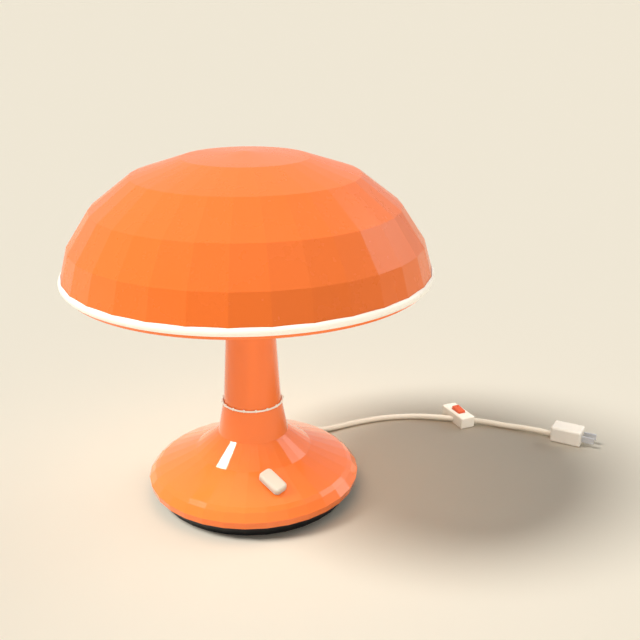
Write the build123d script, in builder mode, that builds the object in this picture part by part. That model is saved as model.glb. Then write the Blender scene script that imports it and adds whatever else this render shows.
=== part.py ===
from build123d import *

import os
from math import atan2, cos, hypot, pi, radians, sin, tan

# Mushroom table lamp: a flat-sided shade on a tapered stem and a flat-sided base, with a dimmer on
# the base and a switched cord. Millimetres, +Z up. The origin is the centre of the underside of the
# foot that the lamp stands on, the front is -Y, and the cord leaves at +Y.
# A profile is a list of (radius, height) points. On flat-sided pieces the radius is to the corners.

# ---------------------------------------------------------------- driving dimensions

# Flat sides that the shade and the base share
side_count = 32

# Clearances
skin_gap = 0.3  # between two nested skins
fit_gap = 0.1  # round a piece that sits in a pocket or a hole
shaft_gap = 0.05  # radial, round a shaft that turns
flap_gap = 0.35  # round a piece that tilts in an opening

# Shade, heights counted from the rim's seat in the trim
shade_profile = [(190, 0), (190, 3), (181.8, 33), (158, 69), (117, 100.6), (65, 117.5)]
shade_height = 123
shade_wall = 2.5
liner_wall = 1.5

# Round trim that grips the rim, flattened where it sits on the carrier
trim_inset = 2  # of the section's centre, inside the rim's corners
trim_section_radius = 4.5
trim_flat_depth = 3.4  # from the section's centre down to the flat
trim_flange_width = 6.5  # inwards from the section's centre
trim_flange_thickness = 3

# Carrier: hub, arms and outer ring
carrier_ring_inset = 0.5  # of its edge, inside the middle of the trim
carrier_ring_width = 7
carrier_ring_depth = 4.3
carrier_ring_lip = 1
carrier_thickness = 3
carrier_arm_width = 9
carrier_arm_count = 3
carrier_hub_radius = 15

# Screws that hold the trim to the carrier
trim_screw_count = 3
trim_screw_inset = 4.4  # inside the middle of the trim
trim_screw_radius = 1.1
trim_screw_head_radius = 2.1
trim_screw_head_height = 1.5
trim_screw_grip = 2.5  # length in the trim's flange

# Stem
stem_foot_radius = 38.5
stem_waist_radius = 32.2
stem_neck_radius = 31.5
stem_top_radius = 23.3
stem_length = 174.6
stem_waist_height = 34.2
stem_wall = 2.5
stem_cap_thickness = 3
stem_cap_spigot = 5

# Beaded ring on the shoulder of the stem
bead_ring_section_radius = 1
bead_radius = 1.6
bead_count = 16
bead_proud = 0.5  # of a bead's centre, outwards of the ring's
first_bead_angle = 16.875

# Base, from its lower rim up
base_profile = [(115, 14.5), (116.5, 22), (110, 30), (105, 33.5), (64, 51.5), (38.5, 71)]
base_wall = 3
base_deck_thickness = 5
base_spigot_height = 3
base_spigot_wall = 2

# Foot tray that closes the base from below, and the steel plate in it
foot_profile = [(104, 0), (106.5, 5), (114.6, 14.5)]
foot_floor = 2.5
foot_wall = 3
plate_radius = 100
plate_thickness = 2

# Ballast
weight_bore_radius = 24
weight_radius = 56
weight_height = 18

# Screws through the plate, into the base and into the ballast
plate_screw_count = 3
plate_screw_circle = 91
plate_screw_radius = 1.75
plate_screw_head_radius = 3.6
plate_screw_length = 16
plate_boss_radius = 4.5
weight_screw_count = 3
weight_screw_circle = 40
weight_screw_radius = 2.5
weight_screw_head_radius = 4.4
weight_screw_length = 14
first_screw_angle = 30

# Threaded tube that clamps the stem between the base and the carrier, its nuts and washers
tube_radius = 5
tube_bore_radius = 3.5
tube_below_deck = 16
tube_above_carrier = 12
nut_across_flats = 14
nut_height = 5
washer_radius = 9
washer_thickness = 1.5

# Lamp holder
holder_radius = 14
holder_wall = 1.8
holder_cap_height = 14
holder_cap_floor = 4
holder_shoulder_height = 8
holder_shoulder_width = 1.6
holder_skirt_height = 30
holder_lip_height = 10
holder_insert_height = 12
screw_shell_height = 20
screw_shell_wall = 0.4
contact_length = 11
contact_width = 5
contact_thickness = 0.5

# Bulb
bulb_cap_radius = 6.9
bulb_cap_height = 22
bulb_tip_radius = 2.4
bulb_tip_height = 1.4
bulb_radius = 22.5
bulb_neck_radius = 6.5
bulb_neck_bore = 3
bulb_glass_height = 52
bulb_wall = 0.8
bulb_shoulder_angle = 48  # where the neck's curve meets the globe, below its middle

# Dimmer on the base's slope
knob_side_angle = 45  # of the flat side that carries it, from the front towards +X
knob_reach = 79.8  # from the lamp's axis, along that side's middle
knob_shift = 2.8  # off that middle
knob_turn = -60.7  # of the knob's length, from level
knob_length = 30
knob_width = 16
knob_height = 7
knob_corner = 4.5
knob_edge = 2.6
knob_lift = 0.5  # over the boss
knob_recess_radius = 6.3
dimmer_boss_radius = 8.5
dimmer_boss_height = 0.6
dimmer_bush_radius = 3.5
dimmer_shaft_radius = 2
dimmer_shaft_grip = 3.4  # length inside the knob
dimmer_shaft_depth = 4  # length inside the case
dimmer_nut_across_flats = 10
dimmer_nut_height = 2.2
dimmer_case_length = 24
dimmer_case_width = 18
dimmer_case_depth = 11
dimmer_case_edge = 1
dimmer_case_gap = 1  # below the wall, so that its corners clear the flats beside it
dimmer_shoulder_radius = 5

# Cord, its relief in the base's back, and what holds it inside
cord_radius = 3.5
cord_exit_height = 8.5
relief_tip_reach = 124  # from the lamp's axis
relief_tip_radius = 4.3
relief_root_radius = 4.9
relief_flange_radius = 5.8
relief_flange_thickness = 3
relief_seat_reach = 101
relief_seat_radius = 7.5
notch_width = 16
notch_reach = 96.5
inner_cord_length = 20
clamp_reach = 87
clamp_length = 6
clamp_width = 22
clamp_cover = 2
clamp_screw_pitch = 15
clamp_screw_radius = 1.4
clamp_screw_head_radius = 2.5
clamp_screw_head_height = 1.6
terminal_reach = 68
terminal_length = 12
terminal_width = 18
terminal_height = 11

# Wires inside the base and the tube
wire_radius = 1.1
wire_bend = 3
wire_spread = 4  # from the middle to each wire, at the terminals
wire_pitch = 1.9  # from the middle to each wire, at the cord
tube_wire_pitch = 1.5  # from the middle to each wire, in the tube
case_wire_pitch = 5
wire_drop = 4
wire_low = 30
wire_high = 35

# Inline switch, lying across the cord
switch_centre = (144.05, 266.3)
switch_heading = -36.87
switch_length = 48
switch_width = 20
switch_height = 15
switch_edge = 1.8
cord_port_height = 5.5
cord_port_depth = 5
cord_heading = 17  # of the cord through the switch
rocker_length = 17
rocker_width = 9.8
rocker_proud = 3.4
rocker_tilt = 6
rocker_depth = 7.2
rocker_edge = 0.8
rocker_pivot_depth = 2.5  # below the housing's top
rocker_pin_radius = 1.2
rocker_pin_length = 1.4
rocker_well_floor = 9.2
switch_contact_length = 5
switch_contact_width = 7
switch_contact_inset = 6.5
switch_screw_radius = 1.1
switch_screw_head_radius = 2
switch_screw_inset = 5
switch_screw_length = 11

# Plug
plug_rear = (265, 279)
plug_length = 37.5
plug_width = 25
plug_height = 20
plug_edge = 2.8
blade_spacing = 12.7
blade_thickness = 1.5
blade_height = 7.5
blade_length = 15
blade_root = 8

# The cord's free route, chosen by hand. Its ends come from the relief, the switch and the plug.
lead_route = [
    (0, 137, 8.5), (8.6, 152, 4.4), (20.5, 172.5, 3.5), (36.5, 196, 3.5), (57, 219.7, 3.5),
    (80, 237.4, 3.5), (97, 246.8, 3.8),
]
lead_last_run = 22
tail_first_run = 22
tail_route = [(203, 275.3, 3.7), (237.5, 279, 5.5)]
arc_share = 0.45  # of the shorter run that each arc takes

# ---------------------------------------------------------------- sizes worked out

trim_radius = shade_profile[0][0] - trim_inset
trim_flange_radius = trim_radius - trim_flange_width
carrier_ring_radius = trim_radius - carrier_ring_inset
trim_screw_circle = trim_radius - trim_screw_inset

side_turn = 180 / side_count  # puts a flat side, not a corner, on each axis
flat_share = cos(radians(side_turn))  # of a corner's radius that reaches the flats

plate_top = foot_floor + plate_thickness
deck_top = base_profile[-1][1]
deck_under = deck_top - base_deck_thickness
stem_top = deck_top + stem_length
carrier_under = stem_top + stem_cap_thickness
carrier_top = carrier_under + carrier_thickness
trim_height = carrier_top + trim_flat_depth
tube_bottom = deck_under - tube_below_deck
holder_bottom = carrier_top + washer_thickness + nut_height
insert_bottom = holder_bottom + holder_shoulder_height
insert_top = insert_bottom + holder_insert_height
skirt_bottom = holder_bottom + holder_cap_height
bulb_tip_bottom = insert_top + contact_thickness
bulb_cap_bottom = bulb_tip_bottom + bulb_tip_height
glass_bottom = bulb_cap_bottom + bulb_cap_height


def raised(profile, height):
    """Return a profile moved up by a height."""
    return [(radius, level + height) for radius, level in profile]


def inset(profile, wall, last_wall):
    """Return a flat-sided profile moved inwards by a wall, as its flats measure it.

    Neighbouring stretches meet again. The first one ends at the first point's height, and the
    last one, which has a wall of its own, ends on the axis.
    """
    walls = [wall] * (len(profile) - 2) + [last_wall]
    lines = []
    for (r0, z0), (r1, z1), thickness in zip(profile, profile[1:], walls):
        run, rise = (r1 - r0) * flat_share, z1 - z0
        scale = thickness / hypot(run, rise)
        lines.append((r0 * flat_share - rise * scale, z0 + run * scale, run, rise))
    r0, z0, run, rise = lines[0]
    points = [(r0 - (z0 - profile[0][1]) * run / rise, profile[0][1])]
    for (r0, z0, run0, rise0), (r1, z1, run1, rise1) in zip(lines, lines[1:]):
        along = ((r1 - r0) * rise1 - (z1 - z0) * run1) / (run0 * rise1 - rise0 * run1)
        points.append((r0 + run0 * along, z0 + rise0 * along))
    r0, z0, run, rise = lines[-1]
    points.append((0, z0 - r0 * rise / run))
    return [(radius / flat_share, height) for radius, height in points]


def flat_sided(profile, mode=Mode.ADD):
    """Loft flat sides up through the rings of a profile. A ring of no radius is a point."""
    sections = []
    for radius, height in profile:
        if radius > 0:
            with BuildSketch(Plane.XY.offset(height)) as ring:
                RegularPolygon(radius, side_count, rotation=side_turn)
            sections.append(ring.sketch.face())
        else:
            sections.append(Vertex(0, 0, height))
    loft(sections, ruled=True, mode=mode)


def turned(points, mode=Mode.ADD):
    """Revolve a closed outline of (radius, height) points about the lamp's axis."""
    with BuildSketch(Plane.XZ) as section:
        with BuildLine():
            Polyline(*points, close=True)
        make_face()
    revolve(section.sketch, axis=Axis.Z, mode=mode)


def disc(radius, bottom, height, bore=0, plane=Plane.XY, mode=Mode.ADD):
    """Extrude a disc or ring up from a height over a plane."""
    with BuildSketch(plane.offset(bottom)) as section:
        Circle(radius)
        if bore:
            Circle(bore, mode=Mode.SUBTRACT)
    extrude(section.sketch, amount=height, mode=mode)


def block(length, width, bottom, height, plane=Plane.XY, mode=Mode.ADD):
    """Extrude a rectangle up from a height over a plane."""
    with BuildSketch(plane.offset(bottom)) as section:
        Rectangle(length, width)
    extrude(section.sketch, amount=height, mode=mode)


def countersunk(plane, shank_radius, head_radius, length, gap=0.0, mode=Mode.ADD):
    """Make a countersunk screw, or with a gap its hole, running from a plane along its normal."""
    head_height = head_radius - shank_radius
    disc(shank_radius + gap, 0, length + gap, plane=plane, mode=mode)
    with BuildSketch(plane) as wide:
        Circle(head_radius + gap)
    with BuildSketch(plane.offset(head_height)) as narrow:
        Circle(shank_radius + gap)
    loft([wide.sketch.face(), narrow.sketch.face()], mode=mode)


def around(circle, count, first_angle, height):
    """Return upright planes evenly spaced on a circle round the lamp's axis."""
    angles = [radians(first_angle + 360 * step / count) for step in range(count)]
    return [Plane((circle * cos(angle), circle * sin(angle), height)) for angle in angles]


def arc_radii(points):
    """Return the radius of the arc at each inner point of a route."""
    radii = []
    for before, corner, after in zip(points, points[1:], points[2:]):
        run_in = Vector(*corner) - Vector(*before)
        run_out = Vector(*after) - Vector(*corner)
        half_turn = radians(run_in.get_angle(run_out) / 2)
        radii.append(arc_share * min(run_in.length, run_out.length) / tan(half_turn))
    return radii


def tube_along(points, radius, radii):
    """Sweep a round tube along straight runs joined by tangent arcs."""
    with BuildLine() as path:
        FilletPolyline(*points, radius=radii)
    route = path.wire()
    with BuildSketch(Plane(route @ 0, z_dir=route % 0)) as section:
        Circle(radius)
    sweep(section.sketch, path=route)
    return route.length


def finish(builder, name):
    """Label a finished piece and write it."""
    builder.part.label = name
    export_step(builder.part, f"parts/{name}.step")


os.makedirs("parts", exist_ok=True)

# ---------------------------------------------------------------- shade

shade_outside = shade_profile + [(0, shade_height)]
shell_inside = inset(shade_outside, shade_wall, shade_wall)
liner_outside = inset(shade_outside, shade_wall + skin_gap, shade_wall + skin_gap)
liner_depth = shade_wall + skin_gap + liner_wall
liner_inside = inset(shade_outside, liner_depth, liner_depth)

with BuildPart() as shade_shell:
    flat_sided(raised(shade_outside, trim_height))
    flat_sided(raised(shell_inside, trim_height), Mode.SUBTRACT)

with BuildPart() as shade_liner:
    flat_sided(raised(liner_outside, trim_height))
    flat_sided(raised(liner_inside, trim_height), Mode.SUBTRACT)

# The trim's channel is flat-sided like the rim that stands in it.
channel_height = 2 * trim_section_radius
with BuildPart() as rim_channel:
    outer_corner = shade_profile[0][0] + fit_gap
    inner_wall = inset(shade_outside, liner_depth + fit_gap, liner_depth + fit_gap)[:3]
    flat_sided([(outer_corner, trim_height), (outer_corner, trim_height + channel_height)])
    flat_sided(raised(inner_wall, trim_height), Mode.SUBTRACT)

trim_screw_planes = around(
    trim_screw_circle, trim_screw_count, first_screw_angle, carrier_top - carrier_ring_depth
)
trim_screw_length = carrier_ring_depth + trim_screw_grip

with BuildPart() as shade_trim:
    with BuildSketch(Plane.XZ) as trim_section:
        with Locations((trim_radius, trim_height)):
            Circle(trim_section_radius)
        with Locations((trim_flange_radius, carrier_top)):
            Rectangle(trim_flange_width, trim_flange_thickness, align=(Align.MIN, Align.MIN))
        with Locations((trim_radius, carrier_top)):
            Rectangle(
                2 * trim_section_radius, trim_section_radius,
                align=(Align.CENTER, Align.MAX), mode=Mode.SUBTRACT,
            )
    revolve(axis=Axis.Z)
    add(rim_channel.part, mode=Mode.SUBTRACT)
    for plane in trim_screw_planes:
        disc(trim_screw_radius + shaft_gap, 0, trim_screw_length + shaft_gap, plane=plane,
             mode=Mode.SUBTRACT)

with BuildPart() as shade_carrier:
    ring_inside = carrier_ring_radius - carrier_ring_width
    ring_under = carrier_top - carrier_ring_depth
    turned([
        (ring_inside, carrier_top), (carrier_ring_radius, carrier_top),
        (carrier_ring_radius, ring_under + 2 * carrier_ring_lip),
        (carrier_ring_radius - carrier_ring_lip, ring_under), (ring_inside, ring_under),
    ])
    disc(carrier_hub_radius, carrier_under, carrier_thickness)
    arm_length = ring_inside + carrier_ring_width / 2
    with BuildSketch(Plane.XY.offset(carrier_under)):
        with PolarLocations(0, carrier_arm_count, start_angle=first_screw_angle + 60):
            with Locations((arm_length / 2, 0)):
                Rectangle(arm_length, carrier_arm_width)
    extrude(amount=carrier_thickness)
    disc(tube_radius + fit_gap, carrier_under, carrier_thickness, mode=Mode.SUBTRACT)
    for plane in trim_screw_planes:
        disc(trim_screw_radius + shaft_gap, 0, carrier_ring_depth, plane=plane, mode=Mode.SUBTRACT)
        disc(trim_screw_head_radius + fit_gap, 0, trim_screw_head_height, plane=plane,
             mode=Mode.SUBTRACT)

with BuildPart() as shade_screws:
    for plane in trim_screw_planes:
        disc(trim_screw_radius, 0, trim_screw_length, plane=plane)
        disc(trim_screw_head_radius, 0, trim_screw_head_height, plane=plane)

# ---------------------------------------------------------------- stem

with BuildPart() as stem:
    waist = deck_top + stem_waist_height
    turned([
        (stem_foot_radius, deck_top), (stem_waist_radius, waist), (stem_neck_radius, waist),
        (stem_top_radius, stem_top), (stem_top_radius - stem_wall, stem_top),
        (stem_neck_radius - stem_wall, waist), (stem_foot_radius - stem_wall, deck_top),
    ])

with BuildPart() as stem_cap:
    disc(stem_top_radius, stem_top, stem_cap_thickness)
    disc(stem_top_radius - stem_wall - fit_gap, stem_top - stem_cap_spigot, stem_cap_spigot)
    disc(tube_radius + fit_gap, stem_top - stem_cap_spigot, stem_cap_spigot + stem_cap_thickness,
         mode=Mode.SUBTRACT)

bead_height = waist + bead_radius + fit_gap
bead_ring_height = waist + bead_ring_section_radius + fit_gap
bead_ring_radius = stem_neck_radius + fit_gap + bead_radius - bead_proud
with BuildPart() as stem_ring:
    with BuildSketch(Plane.XZ):
        with Locations((bead_ring_radius, bead_ring_height)):
            Circle(bead_ring_section_radius)
    revolve(axis=Axis.Z)
    with Locations((0, 0, bead_height)):
        with PolarLocations(bead_ring_radius + bead_proud, bead_count, first_bead_angle):
            Sphere(bead_radius)

# ---------------------------------------------------------------- base

base_inside = inset(base_profile + [(0, deck_top)], base_wall, base_deck_thickness)[:-1]
foot_inside = inset(foot_profile + [(0, foot_profile[-1][1])], foot_wall, 0)[:-1]

# The flat side that carries the knob, and the knob's seat on it
slope_foot, slope_head = base_profile[-3], base_profile[-2]
slope_run = (slope_foot[0] - slope_head[0]) * flat_share
slope_angle = atan2(slope_head[1] - slope_foot[1], slope_run)
knob_level = slope_head[1] - (knob_reach - slope_head[0] * flat_share) * tan(slope_angle)
side_angle = radians(knob_side_angle)
outward = Vector(sin(side_angle), -cos(side_angle), 0)
sideways = Vector(cos(side_angle), sin(side_angle), 0)
knob_normal = outward * sin(slope_angle) + Vector(0, 0, cos(slope_angle))
knob_seat = Plane(
    outward * knob_reach + sideways * knob_shift + Vector(0, 0, knob_level),
    x_dir=sideways, z_dir=knob_normal,
)

relief_axis = Plane((0, 0, cord_exit_height), x_dir=(1, 0, 0), z_dir=(0, 1, 0))
plate_screw_planes = around(
    plate_screw_circle, plate_screw_count, first_screw_angle, foot_floor
)
weight_screw_planes = around(
    weight_screw_circle, weight_screw_count, first_screw_angle, foot_floor
)

with BuildPart() as base_form:
    flat_sided(base_profile)
    disc(plate_screw_circle + plate_boss_radius, plate_top, base_profile[0][1] - plate_top)

with BuildPart() as base_body:
    flat_sided(base_profile)
    flat_sided(base_inside, Mode.SUBTRACT)
    for plane in plate_screw_planes:
        disc(plate_boss_radius, plate_thickness, deck_top - plate_top, plane=plane)
    add(base_form.part, mode=Mode.INTERSECT)
    stem_inside_slope = (stem_foot_radius - stem_neck_radius) / stem_waist_height
    spigot_radius = (
        stem_foot_radius - stem_wall - stem_inside_slope * base_spigot_height - fit_gap
    )
    disc(spigot_radius, deck_top, base_spigot_height, bore=spigot_radius - base_spigot_wall)
    disc(dimmer_boss_radius, -base_wall, base_wall + dimmer_boss_height, plane=knob_seat)
    disc(tube_radius + fit_gap, deck_under, base_deck_thickness, mode=Mode.SUBTRACT)
    disc(dimmer_bush_radius + fit_gap, -2 * base_wall, 3 * base_wall, plane=knob_seat,
         mode=Mode.SUBTRACT)
    for plane in plate_screw_planes:
        disc(plate_screw_radius + shaft_gap, 0, plate_screw_length + shaft_gap, plane=plane,
             mode=Mode.SUBTRACT)

# The tray's floor stays whole, and a round seat thickens its wall where the cord leaves.
with BuildPart() as foot_form:
    flat_sided(foot_profile)

with BuildPart() as base_pad:
    flat_sided(foot_profile)
    flat_sided(foot_inside, Mode.SUBTRACT)
    disc(plate_radius + foot_wall, 0, foot_floor)
    disc(relief_seat_radius, relief_seat_reach, foot_profile[-1][0] - relief_seat_reach,
         plane=relief_axis)
    add(foot_form.part, mode=Mode.INTERSECT)
    disc(relief_root_radius + fit_gap, relief_seat_reach, foot_profile[-1][0], plane=relief_axis,
         mode=Mode.SUBTRACT)

with BuildPart() as base_plate:
    disc(plate_radius, foot_floor, plate_thickness)
    with BuildSketch(Plane.XY.offset(foot_floor)):
        with Locations((0, notch_reach)):
            Rectangle(notch_width, plate_radius, align=(Align.CENTER, Align.MIN))
    extrude(amount=plate_thickness, mode=Mode.SUBTRACT)
    for plane in plate_screw_planes:
        countersunk(plane, plate_screw_radius, plate_screw_head_radius, plate_screw_length,
                    shaft_gap, Mode.SUBTRACT)
    for plane in weight_screw_planes:
        countersunk(plane, weight_screw_radius, weight_screw_head_radius, weight_screw_length,
                    shaft_gap, Mode.SUBTRACT)

with BuildPart() as base_screws:
    for plane in plate_screw_planes:
        countersunk(plane, plate_screw_radius, plate_screw_head_radius, plate_screw_length)

with BuildPart() as base_weight:
    disc(weight_radius, plate_top, weight_height, bore=weight_bore_radius)
    for plane in weight_screw_planes:
        disc(weight_screw_radius + shaft_gap, plate_thickness, weight_screw_length, plane=plane,
             mode=Mode.SUBTRACT)

with BuildPart() as weight_screws:
    for plane in weight_screw_planes:
        countersunk(plane, weight_screw_radius, weight_screw_head_radius, weight_screw_length)

# ---------------------------------------------------------------- threaded tube, nuts and washers

lower_washer_bottom = deck_under - washer_thickness
with BuildPart() as threaded_tube:
    disc(tube_radius, tube_bottom, carrier_top + tube_above_carrier - tube_bottom, tube_bore_radius)

with BuildPart() as tube_washers:
    for bottom in (lower_washer_bottom, carrier_top):
        disc(washer_radius, bottom, washer_thickness, tube_radius + fit_gap)

with BuildPart() as tube_nuts:
    for bottom in (lower_washer_bottom - nut_height, carrier_top + washer_thickness):
        with BuildSketch(Plane.XY.offset(bottom)):
            RegularPolygon(nut_across_flats / 2, 6, major_radius=False)
            Circle(tube_radius + shaft_gap, mode=Mode.SUBTRACT)
        extrude(amount=nut_height)

# ---------------------------------------------------------------- lamp holder and bulb

holder_bore = holder_radius - holder_wall
shoulder_bore = holder_bore - holder_shoulder_width
shell_bore = bulb_cap_radius + fit_gap
lip_bottom = skirt_bottom + holder_skirt_height - holder_lip_height

with BuildPart() as holder_cap:
    disc(holder_radius, holder_bottom, holder_cap_height)
    disc(holder_bore, insert_bottom, holder_cap_height, mode=Mode.SUBTRACT)
    disc(shoulder_bore, holder_bottom + holder_cap_floor, holder_cap_height, mode=Mode.SUBTRACT)
    disc(tube_radius + shaft_gap, holder_bottom, holder_cap_floor, mode=Mode.SUBTRACT)
    fillet(holder_cap.edges().group_by(Axis.Z)[0].sort_by(SortBy.LENGTH)[-1], holder_wall)

with BuildPart() as holder_insert:
    disc(holder_bore - fit_gap, insert_bottom, holder_insert_height)

with BuildPart() as holder_skirt:
    disc(holder_radius, skirt_bottom, holder_skirt_height)
    disc(holder_bore, skirt_bottom, holder_skirt_height - holder_lip_height, mode=Mode.SUBTRACT)
    disc(shell_bore + screw_shell_wall + fit_gap, lip_bottom, holder_lip_height, mode=Mode.SUBTRACT)

with BuildPart() as screw_shell:
    disc(shell_bore + screw_shell_wall, insert_top, screw_shell_height, shell_bore)

with BuildPart() as centre_contact:
    block(contact_length, contact_width, insert_top, contact_thickness)

with BuildPart() as bulb_cap:
    disc(bulb_cap_radius, bulb_cap_bottom, bulb_cap_height)
    disc(bulb_tip_radius, bulb_tip_bottom, bulb_tip_height)

globe_height = glass_bottom + bulb_glass_height - bulb_radius
shoulder_angle = radians(bulb_shoulder_angle)
globe_shoulder = (
    bulb_radius * cos(shoulder_angle), globe_height - bulb_radius * sin(shoulder_angle)
)
with BuildPart() as bulb_glass:
    with BuildSketch(Plane.XZ) as bulb_section:
        with BuildLine():
            Line((0, glass_bottom), (bulb_neck_radius, glass_bottom))
            Spline(
                (bulb_neck_radius, glass_bottom), globe_shoulder,
                tangents=((0, 1), (sin(shoulder_angle), cos(shoulder_angle))),
            )
            RadiusArc(globe_shoulder, (0, globe_height + bulb_radius), -bulb_radius)
            Line((0, globe_height + bulb_radius), (0, glass_bottom))
        make_face()
    revolve(axis=Axis.Z)
    with Locations((0, 0, globe_height)):
        Sphere(bulb_radius - bulb_wall, mode=Mode.SUBTRACT)
    disc(bulb_neck_bore, glass_bottom, bulb_radius, mode=Mode.SUBTRACT)

# ---------------------------------------------------------------- dimmer

case_top = -base_wall - dimmer_case_gap
nut_top = dimmer_boss_height + dimmer_nut_height
knob_under = dimmer_boss_height + knob_lift
recess_depth = nut_top - knob_under + skin_gap
shaft_bottom = case_top - dimmer_shaft_depth

with BuildPart() as dimmer_case:
    block(dimmer_case_length, dimmer_case_width, case_top - dimmer_case_depth, dimmer_case_depth,
          knob_seat)
    fillet(dimmer_case.edges(), dimmer_case_edge)
    disc(dimmer_shoulder_radius, case_top, dimmer_case_gap, plane=knob_seat)
    disc(dimmer_bush_radius, case_top, nut_top - case_top, plane=knob_seat)
    disc(dimmer_shaft_radius + shaft_gap, shaft_bottom - fit_gap, nut_top - shaft_bottom + fit_gap,
         plane=knob_seat, mode=Mode.SUBTRACT)

with BuildPart() as dimmer_nut:
    with BuildSketch(knob_seat.offset(dimmer_boss_height)):
        RegularPolygon(dimmer_nut_across_flats / 2, 6, major_radius=False)
        Circle(dimmer_bush_radius + shaft_gap, mode=Mode.SUBTRACT)
    extrude(amount=dimmer_nut_height)

with BuildPart() as dimmer_shaft:
    shaft_top = knob_under + recess_depth + dimmer_shaft_grip
    disc(dimmer_shaft_radius, shaft_bottom, shaft_top - shaft_bottom, plane=knob_seat)

with BuildPart() as dimmer_knob:
    with BuildSketch(knob_seat.offset(knob_under)):
        RectangleRounded(knob_length, knob_width, knob_corner, rotation=knob_turn)
    extrude(amount=knob_height)
    knob_top_edges = dimmer_knob.faces().sort_by(Axis(knob_seat.origin, knob_normal))[-1].edges()
    fillet(knob_top_edges, knob_edge)
    disc(knob_recess_radius, knob_under, recess_depth, plane=knob_seat, mode=Mode.SUBTRACT)
    disc(dimmer_shaft_radius + shaft_gap, knob_under + recess_depth, dimmer_shaft_grip + shaft_gap,
         plane=knob_seat, mode=Mode.SUBTRACT)

# ---------------------------------------------------------------- cord entry and inner wiring

inner_cord_end = relief_seat_reach - relief_flange_thickness - inner_cord_length
with BuildPart() as cord_relief:
    flange_reach = relief_seat_reach - relief_flange_thickness
    disc(relief_flange_radius, flange_reach, relief_flange_thickness, plane=relief_axis)
    with BuildSketch(relief_axis.offset(relief_seat_reach)) as relief_root:
        Circle(relief_root_radius)
    with BuildSketch(relief_axis.offset(relief_tip_reach)) as relief_tip:
        Circle(relief_tip_radius)
    loft([relief_root.sketch.face(), relief_tip.sketch.face()])

with BuildPart() as inner_cord:
    disc(cord_radius, inner_cord_end, inner_cord_length, plane=relief_axis)

clamp_top = cord_exit_height + cord_radius + clamp_cover
clamp_planes = [
    Plane((side * clamp_screw_pitch / 2, clamp_reach, clamp_top), z_dir=(0, 0, -1))
    for side in (-1, 1)
]
with BuildPart() as cord_clamp:
    block(clamp_width, clamp_length, plate_top, clamp_top - plate_top, Plane((0, clamp_reach, 0)))
    disc(cord_radius + shaft_gap, clamp_reach - clamp_length, 2 * clamp_length, plane=relief_axis,
         mode=Mode.SUBTRACT)
    block(2 * (cord_radius + shaft_gap), clamp_length, plate_top, cord_exit_height - plate_top,
          Plane((0, clamp_reach, 0)), Mode.SUBTRACT)
    for plane in clamp_planes:
        disc(clamp_screw_radius + shaft_gap, 0, clamp_top - plate_top, plane=plane,
             mode=Mode.SUBTRACT)

with BuildPart() as clamp_screws:
    for plane in clamp_planes:
        disc(clamp_screw_radius, 0, clamp_top - plate_top, plane=plane)
        disc(clamp_screw_head_radius, -clamp_screw_head_height, clamp_screw_head_height,
             plane=plane)

with BuildPart() as terminal_block:
    block(terminal_width, terminal_length, plate_top, terminal_height,
          Plane((0, terminal_reach, 0)))

terminal_rear = terminal_reach + terminal_length / 2
terminal_front = terminal_reach - terminal_length / 2
case_bottom = case_top - dimmer_case_depth


def case_point(side, below):
    """Return a point behind the dimmer's case, beside its middle."""
    point = knob_seat.from_local_coords(Vector(side * case_wire_pitch, 0, case_bottom - below))
    return (point.X, point.Y, point.Z)


drop_reach = terminal_front - wire_drop
straight_wires = [
    [(side * wire_pitch, inner_cord_end, cord_exit_height),
     (side * wire_pitch, terminal_rear, cord_exit_height)]
    for side in (-1, 1)
]
bent_wires = [
    # Neutral: terminals, over the ballast, up the tube
    [(-wire_spread, terminal_front, cord_exit_height), (-wire_spread, drop_reach, cord_exit_height),
     (-wire_spread, drop_reach, wire_high), (-tube_wire_pitch, 0, wire_high),
     (-tube_wire_pitch, 0, insert_bottom)],
    # Live: terminals, round over the ballast, to the dimmer
    [(wire_spread, terminal_front, cord_exit_height), (wire_spread, drop_reach, cord_exit_height),
     (wire_spread, drop_reach, wire_low), (48, 6, wire_low), case_point(1, 8), case_point(1, 0)],
    # Dimmed live: dimmer, up the tube
    [case_point(-1, 0), case_point(-1, 8), (38, -46, wire_high), (tube_wire_pitch, 0, wire_high),
     (tube_wire_pitch, 0, insert_bottom)],
]
with BuildPart() as inner_wires:
    for start, end in straight_wires:
        disc(wire_radius, end[1], start[1] - end[1],
             plane=Plane((start[0], 0, start[2]), x_dir=(1, 0, 0), z_dir=(0, 1, 0)))
    for points in bent_wires:
        tube_along(points, wire_radius, wire_bend)

# ---------------------------------------------------------------- inline switch

switch_seat = Plane(
    (*switch_centre, 0),
    x_dir=(cos(radians(switch_heading)), sin(radians(switch_heading)), 0), z_dir=(0, 0, 1),
)
heading = radians(cord_heading)
cord_direction = Vector(cos(heading), sin(heading), 0)
crossing = switch_width / sin(radians(cord_heading - switch_heading))
entry = switch_seat.from_local_coords(Vector(0, -switch_width / 2, cord_port_height))
lead_end = entry + cord_direction * cord_port_depth
tail_start = entry + cord_direction * (crossing - cord_port_depth)

rocker_pivot_height = switch_height - rocker_pivot_depth
rocker_above = switch_height + rocker_proud - rocker_pivot_height
rocker_reach = hypot(rocker_length / 2, rocker_above) * cos(
    atan2(rocker_above, rocker_length / 2) - radians(rocker_tilt)
)
well_length = 2 * (rocker_reach + flap_gap)
well_width = rocker_width + 2 * flap_gap
screw_reach = switch_length / 2 - switch_screw_inset
switch_screw_planes = [
    Plane(switch_seat.from_local_coords(Vector(side * screw_reach, 0, 0))) for side in (-1, 1)
]

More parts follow.
